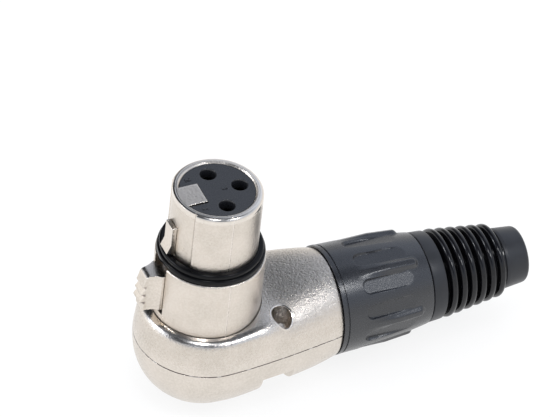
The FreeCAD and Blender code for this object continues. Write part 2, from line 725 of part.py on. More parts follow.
# Upper half: shoulder round the sleeve, crest, and a saddle that rises to the neck.
upper_blank = fuse("upper_blank", [
    housing_form("upper_form", upper_section),
    half_spigot("upper_spigot", f"-2 * {SPIGOT_RADIUS}")])
upper_tools = [
    rod("sleeve_hole", f"{SLEEVE_RADIUS} + sliding_gap", "2 * shoulder_height"),
    rod("upper_cavity", CAVITY, f"{LEDGE} + housing_wall", z="-housing_wall"),
    rod("upper_channel", "wire_channel", "neck_end", **ALONG),
    rod("upper_bore", SPIGOT_BORE, BORE_LENGTH, x="bore_start", **ALONG),
]
for side, y in SIDES:
    upper_tools.append(rod(f"{side}_well", "well_radius", "bowl_depth", x=SCREW_ALONG, y=y, z="well_floor"))
    upper_tools.append(rod(f"{side}_thread", "screw_shank + seat_gap", "well_floor + housing_wall",
                           x=SCREW_ALONG, y=y, z="-housing_wall"))
housing_upper = cut("housing_upper", upper_blank, upper_tools)
finish(housing_upper)

# Lower half: deep bowl behind the barrel, with a seat ring that holds the shell's flange
# and a notch in each flank for a screw head.
lower_blank = fuse("lower_blank", [
    housing_form("lower_form", lower_section), half_spigot("lower_spigot", "0")])
bowl = new_body("bowl_tool")
turn(bowl, "bowl_hollow", [
    ("0", "0"),
    ("0", "-(bowl_depth - housing_wall)"),
    (CAVITY, "0", f"-{CAVITY} / 3.4"),
])


def notch_block(side, name, wall):
    """Block that fills one flank's notch, grown by a wall on all inner sides."""
    start = f"(notch_inner - {wall})"
    return block(f"{side}_{name}", f"notch_length + 2 * {wall}", ROUND_END, "bowl_depth",
                 x=f"notch_start - {wall}",
                 y=start if side == "far" else f"-({start} + {ROUND_END})",
                 z=f"-(notch_floor - {wall} + bowl_depth)")


notch_walls = [notch_block(side, "notch_wall", "notch_wall") for side, _ in SIDES]
lower_tools = [
    cut("bowl_room", bowl, notch_walls),
    block("parting_trim", "2 * (neck_end + spigot_length)", f"4 * {ROUND_END}", "parting_gap",
          x=f"-2 * {ROUND_END}", y=f"-2 * {ROUND_END}", z="-parting_gap"),
    rod("lower_channel", "wire_channel", "neck_end", **ALONG),
    rod("lower_bore", SPIGOT_BORE, BORE_LENGTH, x="bore_start", **ALONG),
]
for side, y in SIDES:
    lower_tools.append(rod(f"{side}_hole", "screw_shank + 2 * seat_gap", "2 * bowl_depth",
                           x=SCREW_ALONG, y=y, z="-bowl_depth"))
    lower_tools.append(rod(f"{side}_counterbore", "head_radius + sliding_gap", "bowl_depth",
                           x=SCREW_ALONG, y=y, z="-(head_seat + bowl_depth)"))
    lower_tools.append(notch_block(side, "notch", "0"))
lower_shell = cut("lower_shell", lower_blank, lower_tools)
seat_rod = rod("seat_ring_rod", FLANGE_RADIUS, f"{FLANGE_LOW} - seat_gap + 2 * housing_wall",
               z="-2 * housing_wall")
seat_bore = rod("seat_ring_bore", f"{CAVITY} - seat_ring_wall", "2 * bowl_depth", z="-bowl_depth")
wire_gate = block("wire_gate", f"2 * {ROUND_END}", f"2 * {SPIGOT_BORE}", "2 * bowl_depth",
                  y=f"-{SPIGOT_BORE}", z="-bowl_depth")
housing_lower = fuse("housing_lower", [lower_shell, cut("seat_ring", seat_rod, [seat_bore, wire_gate])])
housing_lower.Label = "housing_lower"
finish(housing_lower)

# Housing screws: two cross-head screws put in from below, their tips in the wells above.
HEAD_LOW = "(head_seat + head_height)"
screws = []
for side, y in SIDES:
    blank = new_body(f"{side}_screw_blank")
    turn(blank, "screw_form", [
        ("0", f"-{HEAD_LOW}"),
        ("head_radius", f"-{HEAD_LOW}"),
        ("head_radius", "-head_seat"),
        ("screw_shank", "-head_seat"),
        ("screw_shank", "well_floor"),
        ("screw_shank / 2", "well_floor + screw_tip"),
        ("0", "well_floor + screw_tip"),
    ])
    soften(blank, "Fillet", "head_rounding", "head_height / 3", full_circle("head_radius", f"-{HEAD_LOW}"))
    for name, plane in (("long", "XZ_Plane"), ("cross", "YZ_Plane")):
        pocket(blank, f"{name}_recess", box_corners(
            "-recess_length / 2", "recess_length / 2", f"-({HEAD_LOW} + head_height)",
            "-(head_seat + head_height / 2)"), "recess_width", plane)
    put(blank, x=SCREW_ALONG, y=y)
    screws.append(blank)
housing_screws = doc.addObject("Part::Compound", "housing_screws")
housing_screws.Label = "housing_screws"
housing_screws.Links = screws
finish(housing_screws)

# Chuck: slit sleeve in the neck whose tapered fingers grip the cable's jacket.
chuck = new_body("chuck")
turn(chuck, "chuck_form", [
    (CHUCK_START, CHUCK_BORE),
    (CHUCK_END, CHUCK_BORE),
    (CHUCK_END, CHUCK_TIP),
    (SPIGOT_END, CHUCK_RADIUS),
    (CHUCK_START, CHUCK_RADIUS),
], "H_Axis")
for name, plane in (("upright", "XZ_Plane"), ("level", "XY_Plane")):
    pocket(chuck, f"{name}_slits", box_corners(
        "slot_start", f"{CHUCK_END} + chuck_slot", "-chuck_slot / 2", "chuck_slot / 2"),
        f"3 * {CHUCK_RADIUS}", plane)
finish(chuck)

# Collar nut: threaded plastic nut with raised wedge grips and shallow pill recesses.
LIP_FLOOR = "(collar_radius - 2 * lip_groove)"
collar = new_body("collar_blank")
turn(collar, "collar_form", [
    (COLLAR_START, f"{SPIGOT_RADIUS} + running_gap"),
    (COLLAR_STEP, f"{SPIGOT_RADIUS} + running_gap"),
    (COLLAR_STEP, CONE_BORE),
    (COLLAR_WALL, CONE_BORE),
    (COLLAR_WALL, TAIL_BORE),
    (COLLAR_END, TAIL_BORE),
    (COLLAR_END, COLLAR_TAIL),
    (f"{LIP_END} + 2 * lip_groove", "collar_radius - lip_groove / 2", "-collar_belly"),
    (f"{LIP_END} + 2 * lip_groove", LIP_FLOOR),
    (LIP_END, LIP_FLOOR),
    (LIP_END, "collar_radius"),
    (COLLAR_START, "collar_radius"),
], "H_Axis")
rib_envelope = new_body("rib_envelope")
turn(rib_envelope, "rib_crests", [
    (RIB_START, RIB_FLOOR),
    (RIB_END, RIB_FLOOR),
    (RIB_END, "collar_radius - rib_fall"),
    (f"{COLLAR_START} + rib_crown", "collar_radius - lip_groove / 3"),
    (RIB_START, "collar_radius - lip_groove"),
], "H_Axis")


def stadium(name, start, end, half_width, floor, angle):
    """Upright prism with round ends, standing on a floor radius and turned about x."""
    straight = block(f"{name}_bar", f"({end}) - ({start}) - 2 * ({half_width})", f"2 * ({half_width})",
                     "collar_radius", x=f"{start} + {half_width}", y=f"-({half_width})", z=floor)
    first = rod(f"{name}_first", half_width, "collar_radius", x=f"{start} + {half_width}", z=floor)
    last = rod(f"{name}_last", half_width, "collar_radius", x=f"{end} - {half_width}", z=floor)
    joined = fuse(name, [straight, first, last])
    joined.Placement = Placement(Vector(), Rotation(Vector(1, 0, 0), angle))
    return joined


rib_spacing = 360.0 / size("rib_count")
rib_prisms = []
pills = []
for count in range(int(size("rib_count"))):
    heading = size("rib_turn") + count * rib_spacing
    rib_prisms.append(stadium(f"rib_{count + 1}", RIB_START, RIB_END, "rib_half_width", RIB_FLOOR, heading))
    for side, lean in (("left", -1), ("right", 1)):
        place = heading + rib_spacing / 2 + lean * size("pill_offset")
        pills.append(stadium(f"pill_{side}_{count + 1}", PILL_START, RIB_END, "pill_half_width",
                             PILL_FLOOR, place))
ribs = doc.addObject("Part::Common", "ribs")
ribs.Base = rib_envelope
ribs.Tool = fuse("rib_prisms", rib_prisms)
collar_nut = cut("collar_nut", fuse("ribbed_collar", [collar, ribs]), pills)
finish(collar_nut)

# Boot: rubber sleeve that squeezes the chuck, a plain band, flexible rings and an end cap.
bead_count = int(size("boot_rings"))
QUARTER_RISE = (1 - math.cos(math.pi / 4)) / 2  # rise of a quarter circle in bead widths
BEAD_PITCH = "(rings_length / (boot_rings - 1 + lead_share + tail_share))"
BOOT_MOUTH = f"({COLLAR_STEP} + seat_gap)"
JAW_END = f"({CHUCK_END} + sliding_gap)"
BORE_END = f"({BOOT_END} - cable_bore)"
boot = new_body("boot")
boot_corners = [
    (BOOT_MOUTH, f"{CHUCK_RADIUS} + sliding_gap"),
    (BOOT_MOUTH, f"{CONE_BORE} - running_gap"),
    (f"{COLLAR_WALL} - seat_gap", f"{CONE_BORE} - running_gap"),
    (f"{COLLAR_WALL} - seat_gap", f"{TAIL_BORE} - running_gap"),
    (BAND_START, f"{TAIL_BORE} - running_gap"),
    (BAND_START, BAND_RADIUS),
    (BAND_END, f"{BAND_RADIUS} - band_taper"),
    (BAND_END, "boot_core"),
]
for count in range(bead_count):
    middle = f"({BAND_END} + ({count} + lead_share) * {BEAD_PITCH})"
    crest = f"(first_bead + (last_bead - first_bead) * {count} / {max(bead_count - 1, 1)})"
    boot_corners += [
        (f"{middle} - bead_width / 2", "boot_core"),
        (f"{middle} - bead_width / 2", f"{crest} - bead_width / 2"),
        (middle, crest, f"{QUARTER_RISE} * bead_width"),
        (f"{middle} + bead_width / 2", f"{crest} - bead_width / 2", f"{QUARTER_RISE} * bead_width"),
        (f"{middle} + bead_width / 2", "boot_core"),
    ]
boot_corners += [
    (CAP_START, "boot_core"),
    (CAP_START, "cap_radius"),
    (BOOT_END, "cap_tip"),
    (BOOT_END, "cable_radius"),
    (BORE_END, "cable_radius"),
    (f"{BORE_END} - bore_cone", CHUCK_BORE),
    (JAW_END, CHUCK_BORE),
    (JAW_END, f"{CHUCK_TIP} + sliding_gap"),
]
turn(boot, "boot_form", boot_corners, "H_Axis")
soften(boot, "Fillet", "cap_rounding", "cap_round", full_circle("cap_tip", along=BOOT_END))
finish(boot)

doc.recompute()

faults = [thing.Name for thing in doc.Objects
          if any(word in thing.State for word in ("Invalid", "Error"))]
for node in NODES:
    if node.Shape.isNull() or not node.Shape.isValid():
        faults.append(f"{node.Label} shape")
if faults:
    raise RuntimeError("these objects failed: " + ", ".join(faults))

os.makedirs("parts", exist_ok=True)
for node in NODES:
    node.Shape.exportStep(f"parts/{node.Label}.step")
    print(node.Label, len(node.Shape.Solids), round(node.Shape.Volume, 2))
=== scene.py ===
import math

import bmesh
import bpy
from mathutils import Matrix, Vector


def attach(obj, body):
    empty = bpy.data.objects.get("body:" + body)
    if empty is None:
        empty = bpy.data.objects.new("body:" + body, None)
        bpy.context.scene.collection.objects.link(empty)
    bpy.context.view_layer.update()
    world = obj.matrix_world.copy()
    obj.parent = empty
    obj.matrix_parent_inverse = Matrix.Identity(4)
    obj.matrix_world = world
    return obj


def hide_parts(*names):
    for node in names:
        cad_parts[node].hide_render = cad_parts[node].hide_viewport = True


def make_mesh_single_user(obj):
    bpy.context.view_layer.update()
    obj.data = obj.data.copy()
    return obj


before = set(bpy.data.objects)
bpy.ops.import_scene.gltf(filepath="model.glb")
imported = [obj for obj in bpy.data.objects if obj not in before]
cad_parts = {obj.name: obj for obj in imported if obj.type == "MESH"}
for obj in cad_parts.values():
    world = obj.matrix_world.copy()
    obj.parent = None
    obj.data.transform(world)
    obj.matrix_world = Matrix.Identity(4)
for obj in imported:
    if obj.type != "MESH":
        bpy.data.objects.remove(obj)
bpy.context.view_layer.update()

# Shell: barrel, shoulder and sleeve of the female plug, one zinc casting, blasted and
# plated with satin nickel. The key block is cast inside its mouth.
# Sizes here and below are in millimetres, which MM turns into metres.
MM = 0.001
BARREL_FOOT = -13.9
MOUTH_RADIUS = 7.0
RIM_TOP = -0.7
RIM_FOOT = -1.1
MOULD_LINE_ANGLE = -2.3
SEAM_ANGLE = -52.0
NICKEL = (0.730, 0.660, 0.585)
NICKEL_SHADE = (0.660, 0.598, 0.525)
NICKEL_BRIGHT = (0.88, 0.83, 0.77)
# Painted highlight on the raised mould line, and painted shade in the barrel seam's groove.
MOULD_LINE_HIGHLIGHT = (0.90, 0.84, 0.78)
SEAM_SHADE = (0.45, 0.40, 0.36)


class Wire:
    """An output in a shader tree. Sums written with it add Math nodes."""

    def __init__(self, nodes, socket):
        self.nodes = nodes
        self.socket = socket

    def math(self, operation, *values):
        return self.nodes.node("ShaderNodeMath", {"operation": operation}, values)

    def __add__(self, other):
        return self.math("ADD", self, other)

    def __radd__(self, other):
        return self.math("ADD", other, self)

    def __sub__(self, other):
        return self.math("SUBTRACT", self, other)

    def __rsub__(self, other):
        return self.math("SUBTRACT", other, self)

    def __mul__(self, other):
        return self.math("MULTIPLY", self, other)

    def __rmul__(self, other):
        return self.math("MULTIPLY", other, self)

    def __truediv__(self, other):
        return self.math("DIVIDE", self, other)

    def __abs__(self):
        return self.math("ABSOLUTE", self)


class Nodes:
    """Builds the nodes of one shader tree."""

    def __init__(self, tree):
        self.tree = tree

    def feed(self, socket, value):
        """Link a wire to a socket, or set the socket to a number, vector or colour."""
        if isinstance(value, Wire):
            self.tree.links.new(value.socket, socket)
        elif isinstance(value, tuple) and len(value) == 3 and socket.type == "RGBA":
            socket.default_value = (*value, 1.0)
        else:
            socket.default_value = value

    def node(self, kind, settings=None, sockets=(), output=0):
        """Add a node of a kind: its settings first, then its sockets. Gives one output."""
        node = self.tree.nodes.new(kind)
        for name, value in (settings or {}).items():
            setattr(node, name, value)
        pairs = sockets.items() if isinstance(sockets, dict) else enumerate(sockets)
        for key, value in pairs:
            self.feed(node.inputs[key], value)
        return Wire(self, node.outputs[output])

    def mixed(self, share, first, second):
        """Colour between two by a share. A Mix node's colours are its sockets 6 and 7."""
        return self.node("ShaderNodeMix", {"data_type": "RGBA"},
                         {"Factor": share, 6: first, 7: second}, 2)

    def band(self, value, low, high):
        """Smooth step of a value from 0 at low to 1 at high."""
        return self.node("ShaderNodeMapRange", {"interpolation_type": "SMOOTHSTEP"}, {
            "Value": value, "From Min": low, "From Max": high, "To Min": 0.0, "To Max": 1.0})

    def axis(self, vector, letter):
        """One coordinate of a vector."""
        return self.node("ShaderNodeSeparateXYZ", None, (vector,), letter)

    def dot(self, first, second):
        """Dot product of two vectors."""
        return self.node("ShaderNodeVectorMath", {"operation": "DOT_PRODUCT"},
                         (first, second), "Value")


class Finish(Nodes):
    """A procedural material: constants on the shader, varying values from nodes."""

    def __init__(self, name, **constants):
        self.material = bpy.data.materials.new(name)
        self.material.use_nodes = True
        super().__init__(self.material.node_tree)
        self.shader = self.tree.nodes["Principled BSDF"]
        for socket, value in constants.items():
            self.feed(self.shader.inputs[socket.replace("_", " ")], value)
        self.place = self.node("ShaderNodeTexCoord", output="Object")

    def grain(self, size, detail=2.0, roughness=0.5):
        """Noise from 0 to 1 whose grains are about this many millimetres across."""
        return self.node("ShaderNodeTexNoise", None, {
            "Vector": self.place, "Scale": 1 / (size * MM), "Detail": detail,
            "Roughness": roughness})

    def bevel(self, reach):
        """Surface direction averaged over a reach in millimetres, as if edges were round."""
        return self.node("ShaderNodeBevel", {"samples": 4}, {"Radius": reach * MM})

    def edges(self, reach):
        """Mask from 0 on open faces to 1 on edges within a reach in millimetres, for wear and
        for painted highlights on edges.
        """
        facing = self.node("ShaderNodeNewGeometry", output="Normal")
        return self.band(self.dot(self.bevel(reach), facing), 0.995, 0.86)

    def surface(self, colour, roughness, height, depth, strength, soften=0.0):
        """Connect colour, roughness and a bump of some millimetres' depth to the shader,
        and give the material."""
        bump = {"Height": height, "Distance": depth * MM, "Strength": strength}
        if soften:
            bump["Normal"] = self.bevel(soften)
        self.feed(self.shader.inputs["Base Color"], colour)
        self.feed(self.shader.inputs["Roughness"], roughness)
        self.feed(self.shader.inputs["Normal"], self.node("ShaderNodeBump", None, bump))
        return self.material


def tinted(colour, share):
    """Colour made darker or lighter by a share."""
    return tuple(share * part for part in colour)


def nickel(name, shade, rough, soften, grain_depth, marks):
    """Satin nickel over a blasted casting, smoother where edges are rubbed, and lighter there
    as a painted highlight. Marks give the mask and colour of a line, its relief, and a
    polished area, which is smoother and lightened as a painted highlight."""
    finish = Finish(name, Metallic=1.0)
    fine = finish.grain(0.40, 3.0, 0.65)
    broad = finish.grain(5.0)
    edge_wear_and_sheen = finish.edges(0.25)
    rubbed = finish.edges(0.9)
    body = finish.mixed(finish.band(broad, 0.35, 0.7), tinted(NICKEL_SHADE, shade),
                        tinted(NICKEL, shade))
    blasted = finish.mixed(finish.band(fine, 0.40, 0.62) * 0.25, body, NICKEL_BRIGHT)
    # Painted highlight: edges lightened towards NICKEL_BRIGHT.
    colour = finish.mixed(edge_wear_and_sheen * 0.6, blasted, NICKEL_BRIGHT)
    line, tint, relief, polish = marks(finish)
    # Painted highlight: polished areas lightened towards NICKEL_BRIGHT; their lower roughness
    # is real polish.
    colour = finish.mixed(line, finish.mixed(polish * 0.4, colour, NICKEL_BRIGHT), tint)
    roughness = (rough + (fine - 0.5) * 0.16 + (broad - 0.5) * 0.06 - rubbed * 0.18
                 - polish * 0.15)
    height = fine * (1.0 - rubbed * 0.8) * (1.0 - polish) + relief
    return finish.surface(colour, roughness, height, grain_depth, 1.0, soften)


def mould_line(finish):
    """Fine raised line down the front, lightened as a painted highlight, and the barrel's
    seam, a narrow groove to the left of it, darkened as painted shade. The barrel's rim is
    polished and lightened as a painted highlight."""
    height = finish.axis(finish.place, "Z")
    lines = []
    for angle in (MOULD_LINE_ANGLE, SEAM_ANGLE):
        turn = math.radians(angle)
        across = finish.dot(finish.place, (math.cos(turn), math.sin(turn), 0.0))
        ahead = finish.dot(finish.place, (math.sin(turn), -math.cos(turn), 0.0))
        lines.append(finish.band(abs(across), 0.12 * MM, 0.04 * MM)
                     * finish.band(ahead, MOUTH_RADIUS * MM, (MOUTH_RADIUS + 0.2) * MM))
    raised, groove = lines
    seam = groove * finish.band(height, (BARREL_FOOT - 0.1) * MM, BARREL_FOOT * MM)
    tint = finish.mixed(seam, MOULD_LINE_HIGHLIGHT, SEAM_SHADE)
    flat = finish.node("ShaderNodeVectorMath", {"operation": "MULTIPLY"},
                       (finish.place, (1.0, 1.0, 0.0)), "Vector")
    reach = finish.node("ShaderNodeVectorMath", {"operation": "LENGTH"}, (flat,), "Value")
    rim = (finish.band(height, RIM_FOOT * MM, RIM_TOP * MM)
           * finish.band(reach, MOUTH_RADIUS * MM, (MOUTH_RADIUS + 0.15) * MM))
    return (raised * 0.5 + seam * 0.5, tint, raised * 0.8 - seam * 1.2,
            raised * 0.4 + rim)


def dress(node, material):
    """Give a CAD node that stays its finish."""
    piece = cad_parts[node]
    piece.data.materials.clear()
    piece.data.materials.append(material)


dress("shell", nickel("satin_nickel", 1.0, 0.31, 0.16, 0.07, mould_line))

# Ring gasket: a moulded rubber ring with two glossy beads, pushed over the barrel onto
# the sleeve's shoulder.
RING_START = BARREL_FOOT + 0.05
RING_GROOVE = BARREL_FOOT + 1.18
RING_END = BARREL_FOOT + 2.1
RING_BORE = 8.06
RING_RADIUS = 9.35
GROOVE_RADIUS = RING_RADIUS - 0.55
SMALL_BEAD = RING_RADIUS - 0.32
ARC_REACH = 0.48
SHARP_ANGLE = 30.0


def rounded(corners, arc_points=6):
    """Closed outline through corners (along, out, rounding), each rounded by an arc that
    takes less than half of the sides beside it."""
    outline = []
    for index, (along, out, radius) in enumerate(corners):
        here = Vector((along, out))
        if radius <= 0:
            outline.append(here)
            continue
        before = Vector(corners[index - 1][:2]) - here
        after = Vector(corners[(index + 1) % len(corners)][:2]) - here
        half = before.angle(after) / 2
        back = min(radius / math.tan(half), ARC_REACH * before.length,
                   ARC_REACH * after.length)
        reach = back * math.tan(half)
        middle = here + (before.normalized() + after.normalized()).normalized() * (
            reach / math.sin(half))
        start = here + before.normalized() * back - middle
        end = here + after.normalized() * back - middle
        for step in range(arc_points + 1):
            turn = start.normalized().slerp(end.normalized(), step / arc_points)
            outline.append(middle + turn.normalized() * start.length)
    return outline


def finished(mesh, name, material):
    """Object from a mesh, of one material, smooth except across sharp edges."""
    mesh.materials.clear()
    mesh.materials.append(material)
    mesh.polygons.foreach_set("use_smooth", [True] * len(mesh.polygons))
    mesh.set_sharp_from_angle(angle=math.radians(SHARP_ANGLE))
    mesh.update()
    piece = bpy.data.objects.new(name, mesh)
    bpy.context.scene.collection.objects.link(piece)
    return piece


def own_mesh(name, points, faces, material):
    """Object from points in millimetres."""
    mesh = bpy.data.meshes.new(name)
    mesh.from_pydata([Vector(point) * MM for point in points], [], faces)
    return finished(mesh, name, material)


def outward(piece):
    """Turn all faces of a closed piece to point out of it."""
    form = bmesh.new()
    form.from_mesh(piece.data)
    bmesh.ops.recalc_face_normals(form, faces=form.faces)
    form.to_mesh(piece.data)
    form.free()
    return piece


def faces_between(rows, row_size, steps):
    """Faces of a closed loop of rows of points, with this many steps along each row."""
    faces = []
    for row in range(rows):
        low = row * row_size
        high = (row + 1) % rows * row_size
        for step in range(steps):
            after = (step + 1) % row_size
            faces.append((low + step, low + after, high + after, high + step))
    return faces


def turned(name, outline, material, upright=False, steps=160, height=0.0):
    """Closed outline of (along, out) points turned about the z axis, or about the x axis
    at a height."""
    points = []
    for along, out in outline:
        for step in range(steps):
            angle = 2 * math.pi * step / steps
            one, two = out * math.cos(angle), out * math.sin(angle)
            points.append((one, two, along) if upright else (along, one, two + height))
    faces = faces_between(len(outline), steps, steps)
    return outward(own_mesh(name, points, faces, material))


def rubber(name, colour, rough, grain_depth, gloss, polish=None):
    """Moulded black rubber: soft sheen, faint flow marks, a little dust. A polish gives
    the mask of its glossy part."""
    finish = Finish(name, Specular_IOR_Level=gloss)
    fine = finish.grain(0.12, 3.0, 0.6)
    flow = finish.grain(2.5, 3.0)
    dust = finish.band(finish.grain(0.5, 4.0, 0.7), 0.70, 0.80)
    body = finish.mixed(flow, tinted(colour, 0.75), tinted(colour, 1.3))
    shown = finish.mixed(dust * 0.25, body, (0.20, 0.20, 0.21))
    roughness = rough + (fine - 0.5) * 0.10 + (flow - 0.5) * 0.12 + dust * 0.2
    if polish:
        glossy = polish(finish)
        roughness = roughness - glossy * 0.26
        shown = finish.mixed(glossy, shown, (0.004, 0.004, 0.005))
    return finish.surface(shown, roughness, fine, grain_depth, 0.6)


ring_rubber = rubber("ring_rubber", (0.0025, 0.0025, 0.003), 0.14, 0.012, 0.17)
ring = turned("ring_gasket_beads", rounded([
    (RING_START, RING_BORE, 0.0),
    (RING_START, RING_RADIUS, 0.30),
    (RING_GROOVE - 0.06, RING_RADIUS, 0.42),
    (RING_GROOVE, GROOVE_RADIUS, 0.06),
    (RING_GROOVE + 0.06, SMALL_BEAD, 0.24),
    (RING_END, SMALL_BEAD, 0.40),
    (RING_END, RING_BORE, 0.0),
]), ring_rubber, upright=True)
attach(ring, "housing")
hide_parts("ring_gasket")

# Inserts: black moulded discs that fill the barrel. The front one has three guide holes
# with rounded mouths, each with its number in faint relief; the stepped rear one holds
# the contacts from behind.
MOUTH_ROUNDING = 0.22
MERGE_DISTANCE = 0.0005
FLAT_ANGLE = 0.5
DIGIT_HEIGHT = 1.5
DIGIT_HALF_DEPTH = 0.10
DIGIT_ROUNDING = 0.02
DIGIT_LIFT = 0.02
DIGIT_PLACES = {"1": (-3.9, -3.8), "2": (-3.9, 3.8), "3": (1.35, 0.0)}


def moulded(name, colour, rough, grain_size=0.22, depth=0.008):
    """Injection-moulded plastic: fine spark-eroded grain, rubbed edges, faint flow."""
    finish = Finish(name, Specular_IOR_Level=0.85)
    fine = finish.grain(grain_size, 3.0, 0.6)
    flow = finish.grain(3.0, 3.0)
    dust = finish.band(finish.grain(0.45, 5.0, 0.75), 0.70, 0.80)
    edge_wear_and_sheen = finish.edges(0.22)
    body = finish.mixed(flow, tinted(colour, 0.88), tinted(colour, 1.15))
    rubbed = finish.mixed(edge_wear_and_sheen * 0.35, body, tinted(colour, 3.0))
    shown = finish.mixed(dust * 0.18, rubbed, (0.25, 0.25, 0.26))
    roughness = rough + (fine - 0.5) * 0.14 + (flow - 0.5) * 0.10 - edge_wear_and_sheen * 0.20 + dust * 0.15
    return finish.surface(shown, roughness, fine, depth, 0.7, 0.08)


def closed_copy(node):
    """Mesh of a CAD node with merged corners, and one face where triangles lie flat."""
    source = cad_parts[node].data
    mesh = bpy.data.meshes.new(node)
    mesh.from_pydata([corner.co.copy() for corner in source.vertices], [],
                     [tuple(face.vertices) for face in source.polygons])
    form = bmesh.new()
    form.from_mesh(mesh)
    bmesh.ops.remove_doubles(form, verts=form.verts, dist=MERGE_DISTANCE * MM)
    bmesh.ops.dissolve_limit(form, angle_limit=math.radians(FLAT_ANGLE), verts=form.verts,
                             edges=form.edges, use_dissolve_boundaries=False)
    form.to_mesh(mesh)
    form.free()
    return mesh


def plain_mesh(piece):
    """Mesh of a piece as its modifiers or its font make it."""
    return bpy.data.meshes.new_from_object(
        piece.evaluated_get(bpy.context.evaluated_depsgraph_get()))


def baked(piece):
    """Replace a piece's mesh by its evaluated one and drop its modifiers."""
    mesh = plain_mesh(piece)
    piece.modifiers.clear()
    piece.data = mesh
    return piece


def worn_edges(piece, width, angle, segments):
    """Round the edges of a piece that are sharper than an angle in degrees, by a narrow
    bevel of a width in millimetres."""
    bevel = piece.modifiers.new("worn_edges", "BEVEL")
    bevel.width = width * MM
    bevel.segments = segments
    bevel.limit_method = "ANGLE"
    bevel.angle_limit = math.radians(angle)
    bevel.miter_outer = "MITER_ARC"
    bevel.harden_normals = False
    return baked(piece)


insert_plastic = moulded("insert_plastic", (0.0095, 0.010, 0.0122), 0.28)
insert = finished(closed_copy("insert_front"), "insert_front_moulded", insert_plastic)
worn_edges(insert, MOUTH_ROUNDING, 40.0, 3)
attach(insert, "housing")
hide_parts("insert_front")
dress("insert_rear", insert_plastic)
for digit, place in DIGIT_PLACES.items():
    lettering = bpy.data.curves.new("digit", "FONT")
    lettering.body = digit
    lettering.size = DIGIT_HEIGHT * MM
    lettering.extrude = DIGIT_HALF_DEPTH * MM
    lettering.bevel_depth = DIGIT_ROUNDING * MM
    lettering.align_x = lettering.align_y = "CENTER"
    shape = bpy.data.objects.new("digit", lettering)
    bpy.context.scene.collection.objects.link(shape)
    raised = plain_mesh(shape)
    bpy.data.objects.remove(shape)
    raised.transform(Matrix.Translation(Vector((*place, DIGIT_LIFT)) * MM)
                     @ Matrix.Rotation(math.radians(-90), 4, "Z"))
    number_mark = finished(raised, f"insert_digit_{digit}", insert_plastic)
    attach(number_mark, "housing")

# Contacts: sockets turned from brass, each with a collar and a solder cup, held between
# the two inserts. Behind them lies the earth lug, a thin tinned ring with a solder tail.
# Painted shade on the contacts' front ends, inside the insert's holes.
HOLE_SHADE_START = -14.0
HOLE_SHADE_FULL = -9.0


def plain_metal(name, grain_size, detail, dull, bright, rough, depth, painted_shade=None):
    """Bare metal whose fine grain shifts its colour and roughness. A painted shade gives the
    mask and colour of a part darkened as if in shadow."""
    finish = Finish(name, Metallic=1.0)
    fine = finish.grain(grain_size, detail)
    colour = finish.mixed(fine, dull, bright)
    if painted_shade:
        mask, tint = painted_shade(finish)
        colour = finish.mixed(mask, colour, tint)
    return finish.surface(colour, rough + (fine - 0.5) * 0.2, fine, depth, 0.5)


def painted_hole_shade(finish):
    """Painted shade, dark brown, on the open ends of the contacts, deep in the holes of the
    insert where little light reaches.
    """
    height = finish.axis(finish.place, "Z")
    return finish.band(height, HOLE_SHADE_START * MM, HOLE_SHADE_FULL * MM), (0.045, 0.038, 0.032)


contact_brass = plain_metal("contact_brass", 0.10, 2.0, (0.70, 0.48, 0.20),
                            (0.82, 0.60, 0.28), 0.26, 0.003, painted_hole_shade)
for number in (1, 2, 3):
    dress(f"contact_{number}", contact_brass)
dress("earth_lug", plain_metal("tinned_lug", 0.8, 3.0, (0.62, 0.62, 0.62),
                               (0.78, 0.78, 0.77), 0.34, 0.006))

# Latch: one cast and nickel-plated lever with the hook and the stepped thumb tab, which
# rocks on a bead under the key block, and the small steel coil that pushes the hook out.
TAB_FACE = -12.5
TEETH = 3
TEETH_TOP = -17.85
TEETH_LENGTH = 5.0
TOOTH_PITCH = 1.7
TOOTH_ROOT = TEETH_TOP - 0.35
TOOTH_CUT = 0.45
# Painted shade under the thumb tab's teeth.
TOOTH_SHADE = (0.16, 0.125, 0.12)


def painted_tooth_shade(finish):
    """Painted shade under each of the tab's three teeth."""
    below = TEETH_TOP * MM - finish.axis(finish.place, "Z")
    turn = finish.node("ShaderNodeMath", {"operation": "FRACT"},
                       (below / (TOOTH_PITCH * MM),))
    rows = (finish.band(below, 0.0, 0.05 * MM)
            * finish.band(below, TEETH_LENGTH * MM, (TEETH_LENGTH - 0.1) * MM))
    tab = finish.band(finish.axis(finish.place, "X"), (TAB_FACE + 0.5) * MM,
                      (TAB_FACE + 0.1) * MM)
    return finish.band(turn, 0.42, 0.24) * rows * tab * 0.8, TOOTH_SHADE, 0.0, 0.0


latch_metal = nickel("latch_nickel", 1.0, 0.24, 0.12, 0.03, painted_tooth_shade)
latch = finished(closed_copy("latch_lever"), "latch_lever_cast", latch_metal)
for corner in latch.data.vertices:
    for tooth in range(TEETH):
        from_root = corner.co.z - (TOOTH_ROOT - tooth * TOOTH_PITCH) * MM
        if corner.co.x < TAB_FACE * MM and abs(from_root) < 0.05 * MM:
            corner.co.x += TOOTH_CUT * MM
worn_edges(latch, 0.07, 30.0, 2)
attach(latch, "latch")
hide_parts("latch_lever")
spring_steel = plain_metal("spring_steel", 0.06, 2.0, (0.42, 0.42, 0.43),
                           (0.56, 0.56, 0.57), 0.22, 0.002)
coil = finished(closed_copy("latch_spring"), "latch_spring_coil", spring_steel)
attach(coil, "housing")
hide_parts("latch_spring")
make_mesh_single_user(coil)

# Housing: two zinc halves of the clamshell, plated like the shell, that meet at the
# height of the cable's axis and grip the shell's flange.
AXIS_HEIGHT = -32.7
CREST_TOP = -26.1
CREST_FOOT = -27.0
SIDE_TOP = -29.5
SIDE_FOOT = -32.5
SCREW_ALONG = 10.9
SCREW_ACROSS = 8.0
WELL_RADIUS = 1.84
WELL_RIM = 2.20
# Painted shade in the gap between the halves, and painted glints along it.
GAP_SHADE = (0.09, 0.05, 0.04)
GAP_GLINT = (0.85, 0.80, 0.76)


